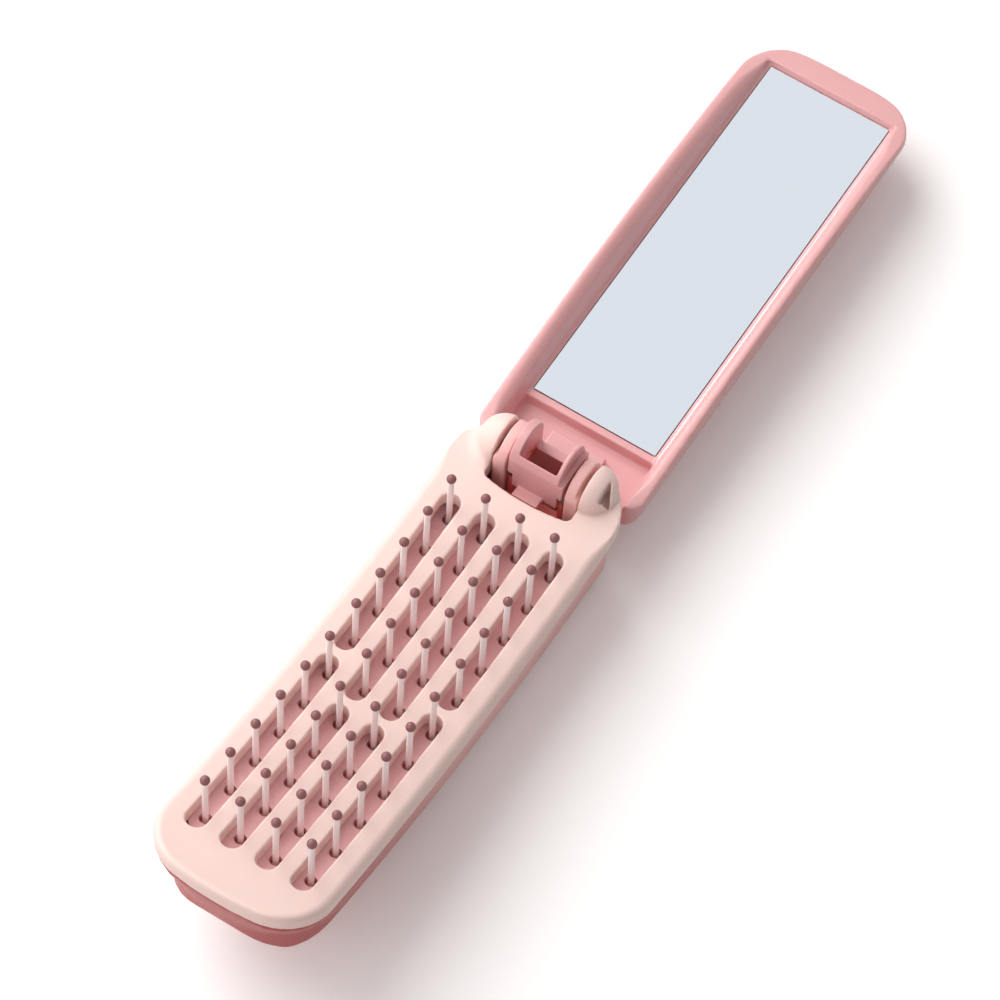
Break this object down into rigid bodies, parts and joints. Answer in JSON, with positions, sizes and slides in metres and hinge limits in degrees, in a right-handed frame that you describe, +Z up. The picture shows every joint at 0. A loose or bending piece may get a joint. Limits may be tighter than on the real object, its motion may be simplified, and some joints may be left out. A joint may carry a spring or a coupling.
{
  "type": "folding hairbrush with mirror",
  "caption": "Folding pocket hairbrush: slotted comb face with pop-up ball-tipped bristles, and a hinged lid that carries a mirror and folds over them.",
  "frame": {"origin": "on the hinge axis in plan, in the middle of the width, at the height of the flat of the belly that the brush rests on", "axes": "+X along the hinge axis across the width, +Y from the brush half to the mirror half as it lies open, +Z up, the way the bristles point"},
  "size_m": [0.0362, 0.226, 0.0431],
  "materials": {
    "cream_shell": "smooth moulded, soft gloss",
    "pink_shell": "smooth moulded, soft gloss",
    "rose_plate": "smooth moulded",
    "rose_frame": "smooth moulded",
    "carrier": "moulded",
    "retainer": "moulded",
    "bristle": "smooth nylon",
    "ball_tip": "rounded, glossy",
    "strip_steel": "spring strip",
    "spring_steel": "drawn wire",
    "screw_steel": "plated",
    "pin_steel": "ground",
    "washer": "low-friction plastic",
    "tape": "double-sided tape",
    "mirror": "silvered glass"
  },
  "bodies": {
    "brush": {"comb_frame": "cream_shell", "back_shell": "pink_shell", "guide_plate": "rose_plate", "near_spring": "spring_steel", "far_spring": "spring_steel", "case_screws": "screw_steel", "guide_screws": "screw_steel", "hinge_pin": "pin_steel", "hinge_washers": "washer"},
    "carrier": {"pin_carrier": "carrier", "pin_retainer": "retainer", "bristle_pins": "bristle", "bristle_tips": "ball_tip", "follower_strip": "strip_steel", "retainer_screws": "screw_steel"},
    "lid": {"lid_shell": "pink_shell", "cam_block": "pink_shell", "cam_screws": "screw_steel", "mirror_frame": "rose_frame", "mirror_tape": "tape", "mirror_glass": "mirror"}
  },
  "joints": [
    {"name": "lid_hinge", "type": "hinge", "parent": "brush", "child": "lid", "pos_m": [0, 0, 0.02175], "axis": [1, 0, 0], "range_deg": [0, 176]},
    {"name": "carrier_lift", "type": "slide", "parent": "brush", "child": "carrier", "axis": [0, 0, 1], "range_m": [-0.0065, 0], "stiffness_N_per_m": 120, "deforming": ["near_spring", "far_spring"]}
  ],
  "couplings": [
    {"joint": "carrier_lift", "follows": "lid_hinge", "m_per_rad": -0.0020835}
  ]
}
